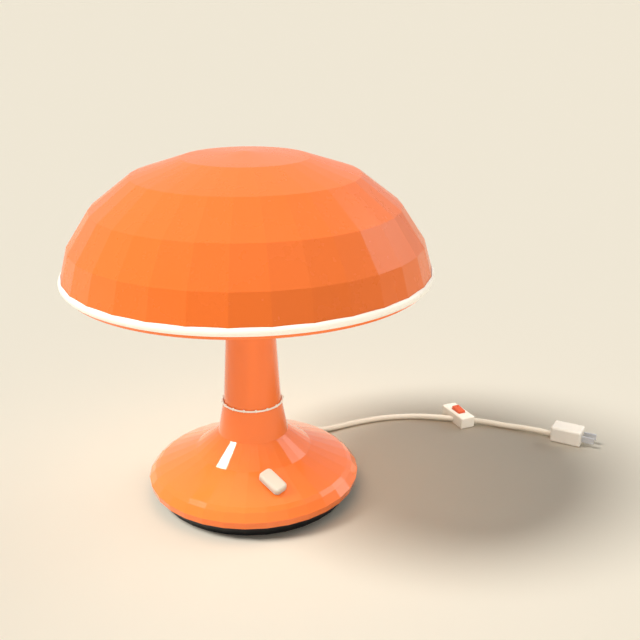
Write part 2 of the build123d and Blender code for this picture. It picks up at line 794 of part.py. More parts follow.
with BuildPart() as switch_form:
    block(switch_length, switch_width, 0, switch_height, switch_seat)
    fillet(switch_form.edges(), switch_edge)
    for start, way in ((lead_end, -cord_direction), (tail_start, cord_direction)):
        disc(cord_radius + shaft_gap, 0, switch_width, plane=Plane(start, z_dir=way),
             mode=Mode.SUBTRACT)
    for plane in switch_screw_planes:
        countersunk(plane, switch_screw_radius, switch_screw_head_radius, switch_screw_length,
                    shaft_gap, Mode.SUBTRACT)

with BuildPart() as switch_lower:
    add(switch_form.part)
    split(bisect_by=Plane.XY.offset(cord_port_height), keep=Keep.BOTTOM)

pin_width = rocker_width + 2 * rocker_pin_length
with BuildPart() as switch_upper:
    add(switch_form.part)
    split(bisect_by=Plane.XY.offset(cord_port_height), keep=Keep.TOP)
    block(well_length, well_width, rocker_well_floor, switch_height, switch_seat, Mode.SUBTRACT)
    pin_axis = Plane(
        switch_seat.from_local_coords(Vector(0, 0, rocker_pivot_height)),
        x_dir=switch_seat.x_dir, z_dir=switch_seat.y_dir,
    )
    disc(rocker_pin_radius + shaft_gap, -pin_width / 2 - fit_gap, pin_width + 2 * fit_gap,
         plane=pin_axis, mode=Mode.SUBTRACT)

# At rest the rocker lies on one side, its far end up.
tilt = radians(rocker_tilt)
rocker_plane = Plane(
    pin_axis.origin,
    x_dir=switch_seat.x_dir * cos(tilt) - Vector(0, 0, 1) * sin(tilt),
    z_dir=switch_seat.x_dir * sin(tilt) + Vector(0, 0, 1) * cos(tilt),
)
with BuildPart() as switch_rocker:
    block(rocker_length, rocker_width, rocker_above - rocker_depth, rocker_depth, rocker_plane)
    fillet(switch_rocker.edges(), rocker_edge)
    disc(rocker_pin_radius, -pin_width / 2, pin_width, plane=pin_axis)

with BuildPart() as switch_contacts:
    for side in (-1, 1):
        spot = switch_seat.from_local_coords(Vector(side * switch_contact_inset, 0, 0))
        block(switch_contact_length, switch_contact_width, rocker_well_floor, contact_thickness,
              Plane(spot, x_dir=switch_seat.x_dir, z_dir=(0, 0, 1)))

with BuildPart() as switch_screws:
    for plane in switch_screw_planes:
        countersunk(plane, switch_screw_radius, switch_screw_head_radius, switch_screw_length)

# ---------------------------------------------------------------- plug

plug_seat = Plane((*plug_rear, plug_height / 2), x_dir=(0, 1, 0), z_dir=(1, 0, 0))
tail_end = Vector(plug_rear[0] + cord_port_depth, plug_rear[1], cord_port_height)

with BuildPart() as plug_body:
    block(plug_width, plug_height, 0, plug_length, plug_seat)
    fillet(plug_body.edges(), plug_edge)
    disc(cord_radius + shaft_gap, 0, 2 * cord_port_depth, plane=Plane(tail_end, z_dir=(-1, 0, 0)),
         mode=Mode.SUBTRACT)
    for side in (-1, 1):
        slot = Plane(
            plug_seat.from_local_coords(Vector(side * blade_spacing / 2, 0, 0)),
            x_dir=plug_seat.x_dir, z_dir=plug_seat.z_dir,
        )
        block(blade_thickness + 2 * shaft_gap, blade_height + 2 * shaft_gap,
              plug_length - blade_root, blade_root, slot, Mode.SUBTRACT)

with BuildPart() as plug_blades:
    for side in (-1, 1):
        middle = plug_seat.from_local_coords(
            Vector(side * blade_spacing / 2, 0, plug_length - blade_root)
        )
        blade_plane = Plane(middle, x_dir=(1, 0, 0), z_dir=(0, -1, 0)).offset(-blade_thickness / 2)
        with BuildSketch(blade_plane):
            Rectangle(blade_root + blade_length, blade_height, align=(Align.MIN, Align.CENTER))
        extrude(amount=blade_thickness)

# ---------------------------------------------------------------- the cord's free stretches

relief_end = (0, relief_tip_reach, cord_exit_height)
lead_turn = lead_end - cord_direction * lead_last_run
tail_turn = tail_start + cord_direction * tail_first_run
lead_points = [relief_end, *lead_route, tuple(lead_turn), tuple(lead_end)]
tail_points = [tuple(tail_start), tuple(tail_turn), *tail_route, tuple(tail_end)]

with BuildPart() as cord_lead:
    lead_radii = arc_radii(lead_points)
    lead_length = tube_along(lead_points, cord_radius, lead_radii)

with BuildPart() as cord_tail:
    tail_radii = arc_radii(tail_points)
    tail_length = tube_along(tail_points, cord_radius, tail_radii)

# ---------------------------------------------------------------- written pieces

pieces = {
    "shade_shell": shade_shell, "shade_liner": shade_liner, "shade_trim": shade_trim,
    "shade_carrier": shade_carrier, "shade_screws": shade_screws, "stem": stem,
    "stem_cap": stem_cap, "stem_ring": stem_ring, "base_body": base_body, "base_pad": base_pad,
    "base_plate": base_plate, "base_screws": base_screws, "base_weight": base_weight,
    "weight_screws": weight_screws, "threaded_tube": threaded_tube, "tube_washers": tube_washers,
    "tube_nuts": tube_nuts, "holder_cap": holder_cap, "holder_insert": holder_insert,
    "holder_skirt": holder_skirt, "screw_shell": screw_shell, "centre_contact": centre_contact,
    "bulb_cap": bulb_cap, "bulb_glass": bulb_glass, "dimmer_case": dimmer_case,
    "dimmer_nut": dimmer_nut, "dimmer_shaft": dimmer_shaft, "dimmer_knob": dimmer_knob,
    "cord_relief": cord_relief, "inner_cord": inner_cord, "cord_clamp": cord_clamp,
    "clamp_screws": clamp_screws, "terminal_block": terminal_block, "inner_wires": inner_wires,
    "switch_lower": switch_lower, "switch_upper": switch_upper, "switch_rocker": switch_rocker,
    "switch_contacts": switch_contacts, "switch_screws": switch_screws, "plug_body": plug_body,
    "plug_blades": plug_blades, "cord_lead": cord_lead, "cord_tail": cord_tail,
}
for name, builder in pieces.items():
    finish(builder, name)

for name, builder, points, radii, length in (
    ("lead", cord_lead, lead_points, lead_radii, lead_length),
    ("tail", cord_tail, tail_points, tail_radii, tail_length),
):
    section_volume = pi * cord_radius**2 * length
    print(f"cord {name}: length {length:.1f}, volume {builder.part.volume / section_volume:.5f} of")
    print("  section times length, radii", [round(radius, 1) for radius in radii])
    print("  points", [tuple(round(value, 2) for value in point) for point in points])
print("knob seat", knob_seat.origin, "normal", knob_normal)
print("rocker pivot", pin_axis.origin, "axis", switch_seat.y_dir)
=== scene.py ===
"""Mushroom table lamp with a flat-sided shade and base, a dimmer, and a switched cord.

Metres, +Z up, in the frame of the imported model. The front is -Y and the cord leaves at +Y.
"""

import logging
import math
from dataclasses import dataclass
from enum import Enum

import bmesh
import bpy
from mathutils import Matrix, Vector


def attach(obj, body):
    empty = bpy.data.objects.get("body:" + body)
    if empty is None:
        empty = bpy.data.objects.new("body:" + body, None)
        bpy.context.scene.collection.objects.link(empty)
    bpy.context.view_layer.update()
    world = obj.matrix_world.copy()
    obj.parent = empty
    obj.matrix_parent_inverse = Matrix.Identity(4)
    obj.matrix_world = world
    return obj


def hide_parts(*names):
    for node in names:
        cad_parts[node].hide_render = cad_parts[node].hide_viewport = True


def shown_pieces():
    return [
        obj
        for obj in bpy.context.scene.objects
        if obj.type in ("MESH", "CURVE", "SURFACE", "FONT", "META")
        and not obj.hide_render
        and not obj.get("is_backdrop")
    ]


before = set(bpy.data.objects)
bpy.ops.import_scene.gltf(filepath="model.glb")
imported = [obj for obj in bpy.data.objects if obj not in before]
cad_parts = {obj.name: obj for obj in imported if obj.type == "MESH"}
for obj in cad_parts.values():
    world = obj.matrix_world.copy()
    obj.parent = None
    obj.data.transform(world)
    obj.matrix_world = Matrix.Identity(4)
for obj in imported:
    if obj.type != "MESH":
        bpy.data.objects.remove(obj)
log = logging.getLogger("lamp")

Colour = tuple[float, float, float]
Point = tuple[float, float, float]
Names = tuple[str, ...]


# ---------------------------------------------------------------- shared shader effects


def new_group(
    name: str, inputs: dict[str, tuple[str, object]], outputs: dict[str, str]
) -> tuple[bpy.types.NodeTree, bpy.types.Node, bpy.types.Node]:
    """Start a shader node group with named sockets.

    Args:
        name: The group's name.
        inputs: Socket name to its type and default value.
        outputs: Socket name to its type.

    Returns:
        The node tree, its input node and its output node.
    """
    tree = bpy.data.node_groups.new(name, "ShaderNodeTree")
    for label, (kind, default) in inputs.items():
        socket = tree.interface.new_socket(label, in_out="INPUT", socket_type=kind)
        socket.default_value = default
    for label, kind in outputs.items():
        tree.interface.new_socket(label, in_out="OUTPUT", socket_type=kind)
    return tree, tree.nodes.new("NodeGroupInput"), tree.nodes.new("NodeGroupOutput")


class Effects:
    """Shader effects that several finishes share, each built once."""

    def __init__(self) -> None:
        """Build every effect."""
        self.tone = self._tone()
        self.sheen = self._sheen()
        self.peel = self._peel()
        self.brush = self._brush()
        self.thread = self._thread()

    def _tone(self) -> bpy.types.NodeTree:
        """Slow colour change over a surface: Color, Depth and Scale to Color.

        Returns:
            The group's node tree.
        """
        tree, source, sink = new_group(
            "tone",
            {
                "Color": ("NodeSocketColor", (0.8, 0.8, 0.8, 1.0)),
                "Depth": ("NodeSocketFloat", 0.05),
                "Scale": ("NodeSocketFloat", 12.0),
            },
            {"Color": "NodeSocketColor"},
        )
        place = tree.nodes.new("ShaderNodeTexCoord")
        noise = tree.nodes.new("ShaderNodeTexNoise")
        noise.inputs["Detail"].default_value = 3.0
        darker = tree.nodes.new("ShaderNodeMix")
        darker.data_type = "RGBA"
        darker.blend_type = "MULTIPLY"
        darker.inputs["Factor"].default_value = 1.0
        taken = tree.nodes.new("ShaderNodeMath")
        taken.operation = "MULTIPLY"
        left = tree.nodes.new("ShaderNodeMath")
        left.operation = "SUBTRACT"
        left.inputs[0].default_value = 1.0
        link = tree.links.new
        link(place.outputs["Object"], noise.inputs["Vector"])
        link(source.outputs["Scale"], noise.inputs["Scale"])
        link(noise.outputs["Fac"], taken.inputs[0])
        link(source.outputs["Depth"], taken.inputs[1])
        link(taken.outputs["Value"], left.inputs[1])
        link(source.outputs["Color"], darker.inputs["A"])
        link(left.outputs["Value"], darker.inputs["B"])
        link(darker.outputs["Result"], sink.inputs["Color"])
        return tree

    def _sheen(self) -> bpy.types.NodeTree:
        """Handling marks in the gloss: Low, High and Scale to Roughness.

        Returns:
            The group's node tree.
        """
        tree, source, sink = new_group(
            "handling",
            {
                "Low": ("NodeSocketFloat", 0.2),
                "High": ("NodeSocketFloat", 0.3),
                "Scale": ("NodeSocketFloat", 20.0),
            },
            {"Roughness": "NodeSocketFloat"},
        )
        place = tree.nodes.new("ShaderNodeTexCoord")
        noise = tree.nodes.new("ShaderNodeTexNoise")
        noise.inputs["Detail"].default_value = 5.0
        noise.inputs["Roughness"].default_value = 0.6
        spread = tree.nodes.new("ShaderNodeMapRange")
        spread.inputs["From Min"].default_value = 0.35
        spread.inputs["From Max"].default_value = 0.65
        link = tree.links.new
        link(place.outputs["Object"], noise.inputs["Vector"])
        link(source.outputs["Scale"], noise.inputs["Scale"])
        link(noise.outputs["Fac"], spread.inputs["Value"])
        link(source.outputs["Low"], spread.inputs["To Min"])
        link(source.outputs["High"], spread.inputs["To Max"])
        link(spread.outputs["Result"], sink.inputs["Roughness"])
        return tree

    def _peel(self) -> bpy.types.NodeTree:
        """Fine unevenness of paint or moulding: Scale to Height.

        Returns:
            The group's node tree.
        """
        tree, source, sink = new_group(
            "peel", {"Scale": ("NodeSocketFloat", 400.0)}, {"Height": "NodeSocketFloat"}
        )
        place = tree.nodes.new("ShaderNodeTexCoord")
        noise = tree.nodes.new("ShaderNodeTexNoise")
        noise.inputs["Detail"].default_value = 2.0
        tree.links.new(place.outputs["Object"], noise.inputs["Vector"])
        tree.links.new(source.outputs["Scale"], noise.inputs["Scale"])
        tree.links.new(noise.outputs["Fac"], sink.inputs["Height"])
        return tree

    def _brush(self) -> bpy.types.NodeTree:
        """Fine parallel grain of worked metal: Scale and Stretch to Height.

        Returns:
            The group's node tree.
        """
        tree, source, sink = new_group(
            "brush",
            {
                "Scale": ("NodeSocketFloat", 600.0),
                "Stretch": ("NodeSocketVector", (0.05, 1.0, 1.0)),
            },
            {"Height": "NodeSocketFloat"},
        )
        place = tree.nodes.new("ShaderNodeTexCoord")
        drawn = tree.nodes.new("ShaderNodeVectorMath")
        drawn.operation = "MULTIPLY"
        noise = tree.nodes.new("ShaderNodeTexNoise")
        noise.inputs["Detail"].default_value = 3.0
        link = tree.links.new
        link(place.outputs["Object"], drawn.inputs[0])
        link(source.outputs["Stretch"], drawn.inputs[1])
        link(drawn.outputs["Vector"], noise.inputs["Vector"])
        link(source.outputs["Scale"], noise.inputs["Scale"])
        link(noise.outputs["Fac"], sink.inputs["Height"])
        return tree

    def _thread(self) -> bpy.types.NodeTree:
        """Ridges of a screw thread round an upright axis: Pitch to Height.

        Returns:
            The group's node tree.
        """
        tree, source, sink = new_group(
            "thread", {"Pitch": ("NodeSocketFloat", 0.001)}, {"Height": "NodeSocketFloat"}
        )
        place = tree.nodes.new("ShaderNodeTexCoord")
        split = tree.nodes.new("ShaderNodeSeparateXYZ")
        turn = tree.nodes.new("ShaderNodeMath")
        turn.operation = "DIVIDE"
        wave = tree.nodes.new("ShaderNodeMath")
        wave.operation = "PINGPONG"
        # The height rises over half a turn and falls over the other half.
        wave.inputs[1].default_value = 0.5
        link = tree.links.new
        link(place.outputs["Object"], split.inputs["Vector"])
        link(split.outputs["Z"], turn.inputs[0])
        link(source.outputs["Pitch"], turn.inputs[1])
        link(turn.outputs["Value"], wave.inputs[0])
        link(wave.outputs["Value"], sink.inputs["Height"])
        return tree


# ---------------------------------------------------------------- finishes


@dataclass(frozen=True)
class Finish:
    """A surface finish made of a plain colour, gloss marks and a fine relief.

    Attributes:
        name: The material's name.
        colour: Linear base colour.
        roughness: Lowest and highest roughness over the surface.
        depth: How much the colour darkens in places.
        relief: Height of the fine relief, in metres.
        grain: Scale of the fine relief.
        metallic: One for bare metal.
        coat: Weight of a clear coat.
        coat_roughness: Roughness of that coat.
    """

    name: str
    colour: Colour
    roughness: tuple[float, float] = (0.3, 0.4)
    depth: float = 0.03
    relief: float = 0.00002
    grain: float = 500.0
    metallic: float = 0.0
    coat: float = 0.0
    coat_roughness: float = 0.06

    def relief_group(self, effects: Effects) -> tuple[bpy.types.NodeTree, dict[str, object]]:
        """Return the group that makes the relief's height, and its inputs."""
        return effects.peel, {"Scale": self.grain}

    def build(self, effects: Effects) -> bpy.types.Material:
        """Build the material.

        Args:
            effects: The shared shader effects.

        Returns:
            The finished material.
        """
        material = bpy.data.materials.new(self.name)
        material.use_nodes = True
        nodes, link = material.node_tree.nodes, material.node_tree.links.new
        shader = nodes["Principled BSDF"]
        shader.inputs["Metallic"].default_value = self.metallic
        shader.inputs["Coat Weight"].default_value = self.coat
        shader.inputs["Coat Roughness"].default_value = self.coat_roughness
        material.diffuse_color = (*self.colour, 1.0)

        tone = self.place(nodes, effects.tone, {"Color": (*self.colour, 1.0), "Depth": self.depth})
        link(tone.outputs["Color"], shader.inputs["Base Color"])
        low, high = self.roughness
        marks = self.place(nodes, effects.sheen, {"Low": low, "High": high})
        link(marks.outputs["Roughness"], shader.inputs["Roughness"])
        relief = self.place(nodes, *self.relief_group(effects))
        bump = nodes.new("ShaderNodeBump")
        bump.inputs["Distance"].default_value = self.relief
        bump.inputs["Strength"].default_value = 1.0
        link(relief.outputs["Height"], bump.inputs["Height"])
        link(bump.outputs["Normal"], shader.inputs["Normal"])
        self.dress(shader)
        return material

    def dress(self, shader: bpy.types.Node) -> None:
        """Add what only this kind of finish has, which is nothing on a plain one."""

    @staticmethod
    def place(
        nodes: bpy.types.Nodes, group: bpy.types.NodeTree, values: dict[str, object]
    ) -> bpy.types.Node:
        """Place a shared effect in a material with its own values.

        Args:
            nodes: The material's nodes.
            group: The shared effect.
            values: Socket name to the value that it has in this material.

        Returns:
            The group's node.
        """
        node = nodes.new("ShaderNodeGroup")
        node.node_tree = group
        for label, value in values.items():
            node.inputs[label].default_value = value
        return node


@dataclass(frozen=True)
class DrawnMetal(Finish):
    """Bare metal with a fine grain one way.

    Attributes:
        stretch: Scale of the grain along each axis, smallest the way that it runs.
    """

    stretch: Point = (0.05, 1.0, 1.0)

    def relief_group(self, effects: Effects) -> tuple[bpy.types.NodeTree, dict[str, object]]:
        """Return the grain's group and inputs."""
        return effects.brush, {"Scale": self.grain, "Stretch": self.stretch}


@dataclass(frozen=True)
class ThreadedMetal(Finish):
    """Bare metal with a screw thread round an upright axis.

    Attributes:
        pitch: Height of one turn of the thread, in metres.
    """

    pitch: float = 0.001

    def relief_group(self, effects: Effects) -> tuple[bpy.types.NodeTree, dict[str, object]]:
        """Return the thread's group and inputs."""
        return effects.thread, {"Pitch": self.pitch}


@dataclass(frozen=True)
class SoftPlastic(Finish):
    """Plastic or opal glass that lets a little light in under its surface.

    Attributes:
        scatter: Share of the light that goes in.
        scatter_radius: How far red, green and blue light go, one against the other.
        scatter_scale: How far light goes, in metres.
    """

    scatter: float = 0.1
    scatter_radius: Colour = (1.0, 0.8, 0.6)
    scatter_scale: float = 0.002

    def dress(self, shader: bpy.types.Node) -> None:
        """Add the light under the surface.

        Args:
            shader: The material's shader.
        """
        shader.inputs["Subsurface Weight"].default_value = self.scatter
        shader.inputs["Subsurface Radius"].default_value = self.scatter_radius
        shader.inputs["Subsurface Scale"].default_value = self.scatter_scale


ORANGE: Colour = (1.0, 0.200, 0.028)


class Look(Enum):
    """The finishes on the lamp."""

    ORANGE_SHADE = Finish(
        "orange_shade", ORANGE, (0.24, 0.30), depth=0.02, relief=0.0000015, grain=220.0
    )
    ORANGE_PAINT = Finish(
        "orange_paint", ORANGE, (0.16, 0.22), depth=0.02, relief=0.0000015, grain=260.0, coat=0.6
    )
    ORANGE_PLASTIC = Finish("orange_plastic", (0.90, 0.13, 0.035), (0.25, 0.35), depth=0.04)
    CREAM_ENAMEL = Finish("cream_enamel", (0.93, 0.86, 0.73), (0.22, 0.32), coat=0.3)
    CREAM_PLASTIC = SoftPlastic("cream_plastic", (0.89, 0.80, 0.66), (0.28, 0.38), depth=0.04)
    # A lighter copy of the cream enamel: painted light standing in for the light that the shade
    # keeps off the ring.
    RING_ENAMEL_PAINTED_LIGHT = Finish("ring_enamel_painted_light", (0.98, 0.92, 0.80), (0.3, 0.4))
    # A darker copy of the cream plastic: painted shade standing in for the shadow that falls over
    # the plug.
    PLUG_PLASTIC_PAINTED_SHADE = SoftPlastic("plug_plastic_painted_shade", (0.80, 0.73, 0.62), (0.28, 0.38), depth=0.04)
    CREAM_CORD = SoftPlastic(
        "cream_cord", (0.80, 0.70, 0.55), (0.35, 0.45), depth=0.05, relief=0.00003, grain=900.0
    )
    BLACK_RUBBER = Finish(
        "black_rubber", (0.012, 0.012, 0.013), (0.6, 0.8), depth=0.2, relief=0.00006, grain=1500.0
    )
    STEEL = DrawnMetal(
        "steel", (0.62, 0.62, 0.63), (0.25, 0.38), depth=0.1, relief=0.00001, metallic=1.0
    )
    BLADE_STEEL = DrawnMetal(
        "blade_steel", (0.80, 0.81, 0.84), (0.38, 0.5), depth=0.08, relief=0.000008, metallic=0.7
    )
    IRON = Finish(
        "iron", (0.045, 0.045, 0.05), (0.55, 0.75),
        depth=0.3, relief=0.0002, grain=700.0, metallic=0.6,
    )
    BRASS = DrawnMetal(
        "brass", (0.79, 0.57, 0.24), (0.22, 0.35), depth=0.12, relief=0.00001, metallic=1.0
    )
    THREADED_STEEL = ThreadedMetal(
        "threaded_steel", (0.60, 0.60, 0.62), (0.28, 0.4), depth=0.1, relief=0.0004, metallic=1.0
    )
    THREADED_BRASS = ThreadedMetal(
        "threaded_brass", (0.79, 0.60, 0.30), (0.25, 0.38),
        depth=0.1, relief=0.0008, metallic=1.0, pitch=0.0028,
    )
    CERAMIC = Finish("ceramic", (0.86, 0.84, 0.79), (0.12, 0.2), relief=0.00001, grain=300.0)
    WHITE_PLASTIC = SoftPlastic("white_plastic", (0.84, 0.81, 0.74), (0.3, 0.42), depth=0.05)
    OPAL_GLASS = SoftPlastic(
        "opal_glass", (0.95, 0.93, 0.88), (0.06, 0.1), depth=0.01, scatter=0.6
    )
    WIRE_SLEEVE = SoftPlastic("wire_sleeve", (0.30, 0.11, 0.05), (0.3, 0.45), depth=0.1)


# ---------------------------------------------------------------- the object's pieces


class Assembly:
    """A group of pieces of the lamp that are dressed together."""

    looks: dict[str, Look] = {}

    def __init__(self, materials: dict[Look, bpy.types.Material]) -> None:
        """Keep the finished materials."""
        self.materials = materials

    def build(self) -> None:
        """Dress every node of the assembly."""
        for node, look in self.looks.items():
            self.dress_node(node, look)

    def paint(self, piece: bpy.types.Object, look: Look) -> None:
        """Give a piece one finish all over."""
        piece.data.materials.clear()
        piece.data.materials.append(self.materials[look])

    def dress_node(self, node: str, look: Look) -> None:
        """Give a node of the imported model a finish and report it."""
        self.paint(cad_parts[node], look)
        log.info("%s: %s", node, look.value.name)

    def add_piece(self, piece: bpy.types.Object, body: str, look: Look, *stands_for: str) -> None:
        """Finish a new piece, tie it to its body and let it stand for nodes.

        Args:
            piece: The new object.
            body: The body that it moves with.
            look: Its finish.
            stands_for: The nodes that it takes the place of.
        """
        self.paint(piece, look)
        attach(piece, body)
        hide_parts(*stands_for)
        log.info("%s rides on %s", piece.name, body)


class Shade(Assembly):
    """The shade with its liner, rim trim and carrier."""

    looks = {
        "shade_shell": Look.ORANGE_SHADE,
        "shade_liner": Look.CREAM_ENAMEL,
        "shade_trim": Look.CREAM_ENAMEL,
        "shade_carrier": Look.ORANGE_PAINT,
        "shade_screws": Look.STEEL,
    }


class Stem(Assembly):
    """The stem with its cap and beaded ring, and the tube that clamps it."""

    looks = {
        "stem": Look.ORANGE_PAINT,
        "stem_cap": Look.ORANGE_PAINT,
        # The ring's enamel is lightened: painted light in place of what the shade keeps off.
        "stem_ring": Look.RING_ENAMEL_PAINTED_LIGHT,
        "threaded_tube": Look.THREADED_STEEL,
        "tube_washers": Look.STEEL,
        "tube_nuts": Look.BRASS,
    }


class Base(Assembly):
    """The base with its foot, plate and ballast, and the wiring inside."""

    looks = {
        "base_body": Look.ORANGE_PAINT,
        "base_pad": Look.BLACK_RUBBER,
        "base_plate": Look.STEEL,
        "base_screws": Look.STEEL,
        "base_weight": Look.IRON,
        "weight_screws": Look.STEEL,
        "inner_cord": Look.CREAM_CORD,
        "cord_clamp": Look.WHITE_PLASTIC,
        "clamp_screws": Look.STEEL,
        "terminal_block": Look.WHITE_PLASTIC,
        "inner_wires": Look.WIRE_SLEEVE,
    }


class Holder(Assembly):
    """The lamp holder and its bulb."""

    looks = {
        "holder_cap": Look.WHITE_PLASTIC,
        "holder_insert": Look.CERAMIC,
        "holder_skirt": Look.WHITE_PLASTIC,
        "screw_shell": Look.THREADED_BRASS,
        "centre_contact": Look.BRASS,
        "bulb_cap": Look.THREADED_BRASS,
        "bulb_glass": Look.OPAL_GLASS,
    }


class Dimmer(Assembly):
    """The dimmer and its knob."""

    looks = {
        "dimmer_case": Look.WHITE_PLASTIC,
        "dimmer_nut": Look.STEEL,
        "dimmer_shaft": Look.STEEL,
        "dimmer_knob": Look.CREAM_PLASTIC,
    }


@dataclass(frozen=True)
class CordSizes:
    """The cord's thickness and the given points of its two stretches.

    Attributes:
        radius: Half the cord's thickness.
        lead_length: Real length of the stretch from the base to the switch. Not used.
        tail_length: Real length of the stretch from the switch to the plug. Not used.
        lead: Control points of the stretch to the switch.
        tail: Control points of the stretch to the plug.
    """

    radius: float = 0.0035
    lead_length: float = 0.2098
    tail_length: float = 0.1147
    lead: tuple[Point, ...] = (
        (0, 0.124, 0.0085), (0, 0.137, 0.0085), (0.0086, 0.152, 0.0044),
        (0.0205, 0.1725, 0.0035), (0.0365, 0.196, 0.0035), (0.057, 0.2197, 0.0035),
        (0.080, 0.2374, 0.0035), (0.097, 0.2468, 0.0038), (0.12179, 0.25333, 0.0055),
        (0.14283, 0.25976, 0.0055),
    )
    tail: tuple[Point, ...] = (
        (0.15695, 0.26408, 0.0055), (0.17799, 0.27051, 0.0055), (0.203, 0.2753, 0.0037),
        (0.2375, 0.279, 0.0055), (0.270, 0.279, 0.0055),
    )


class CordSet(Assembly):
    """The cord from its relief to the plug, with the switch that lies across it."""

    looks = {
        "cord_relief": Look.CREAM_PLASTIC,
        "switch_lower": Look.CREAM_PLASTIC,
        "switch_upper": Look.CREAM_PLASTIC,
        "switch_rocker": Look.ORANGE_PLASTIC,
        "switch_contacts": Look.BRASS,
        "switch_screws": Look.STEEL,
        # The plug's plastic is darkened: painted shade for the shadow over it.
        "plug_body": Look.PLUG_PLASTIC_PAINTED_SHADE,
        "plug_blades": Look.BLADE_STEEL,
    }

    def __init__(self, materials: dict[Look, bpy.types.Material], sizes: CordSizes) -> None:
        """Keep the materials and the cord's sizes."""
        super().__init__(materials)
        self.sizes = sizes

    def build(self) -> None:
        """Dress the nodes and lay both stretches of cord."""
        super().build()
        lead = self.lay("lead_flex", self.sizes.lead)
        tail = self.lay("tail_flex", self.sizes.tail)
        self.add_piece(lead, "lamp", Look.CREAM_CORD, "cord_lead")
        self.add_piece(tail, "lamp", Look.CREAM_CORD, "cord_tail")

    def lay(self, name: str, points: tuple[Point, ...]) -> bpy.types.Object:
        """Lay a round cord along a smooth line.

        Args:
            name: The new object's name.
            points: The line's control points.

        Returns:
            The cord as a curve object.
        """
        curve = bpy.data.curves.new(name, "CURVE")
        curve.dimensions = "3D"
        curve.bevel_depth = self.sizes.radius
        curve.bevel_resolution = 8
        curve.resolution_u = 24
        curve.use_fill_caps = True
        spline = curve.splines.new("NURBS")
        spline.points.add(len(points) - 1)
        for control, point in zip(spline.points, points):
            control.co = (*point, 1.0)
        spline.order_u = 3
        spline.use_endpoint_u = True
        cord = bpy.data.objects.new(name, curve)
        bpy.context.collection.objects.link(cord)
        return cord


# ---------------------------------------------------------------- studio


# What a light reaches. No name at all stands for every piece of the lamp.
EVERY_PIECE: Names = ()
FLOOR: Names = ("floor",)
UNDER_SHADE: Names = (
    "shade_trim", "stem", "stem_ring", "cord_relief", "lead_flex", "tail_flex",
    "switch_lower", "switch_upper", "switch_rocker", "plug_body", "plug_blades",
)
FACING_UP: Names = ("stem_ring", "dimmer_knob", "cord_relief", "lead_flex", "switch_upper")
SHADE_UNDERSIDE: Names = (
    "shade_liner", "shade_carrier", "shade_trim", "stem_cap", "bulb_glass",
)

# The highest count that a light takes, which leaves the limit to the renderer.
PASSED_ON_FREELY = 1024


@dataclass(frozen=True)
class Sun:
    """A distant light.

    Attributes:
        name: The light's name.
        direction: From the lamp towards the light.
        strength: Its strength.
        spread: Its angular width in degrees.
        colour: Its colour.
        mirrored: Whether the gloss shows the light.
        reach: The objects that it lights, EVERY_PIECE for the whole lamp, or None for all there is.
        shadow: Whether it casts shadows.
        bounces: How often its light is passed on from one surface to the next.
    """

    name: str
    direction: Point
    strength: float
    spread: float = 20.0
    colour: Colour = (1.0, 1.0, 1.0)
    mirrored: bool = False
    reach: Names | None = None
    shadow: bool = True
    bounces: int = PASSED_ON_FREELY


@dataclass(frozen=True)
class Fill(Sun):
    """A wide light without shadow that reaches the lamp's pieces and not the floor."""

    spread: float = 90.0
    reach: Names | None = EVERY_PIECE
    shadow: bool = False
    bounces: int = 0


@dataclass(frozen=True)
class Glint:
    """A small near light whose mirror image shows on one piece's gloss.

    Attributes:
        name: The light's name.
        place: Where it stands.
        target: What it points at.
        radius: Its radius in metres.
        power: Its power in watts.
        pieces: What it reaches.
    """

    name: str
    place: Point
    target: Point
    radius: float
    power: float
    pieces: Names


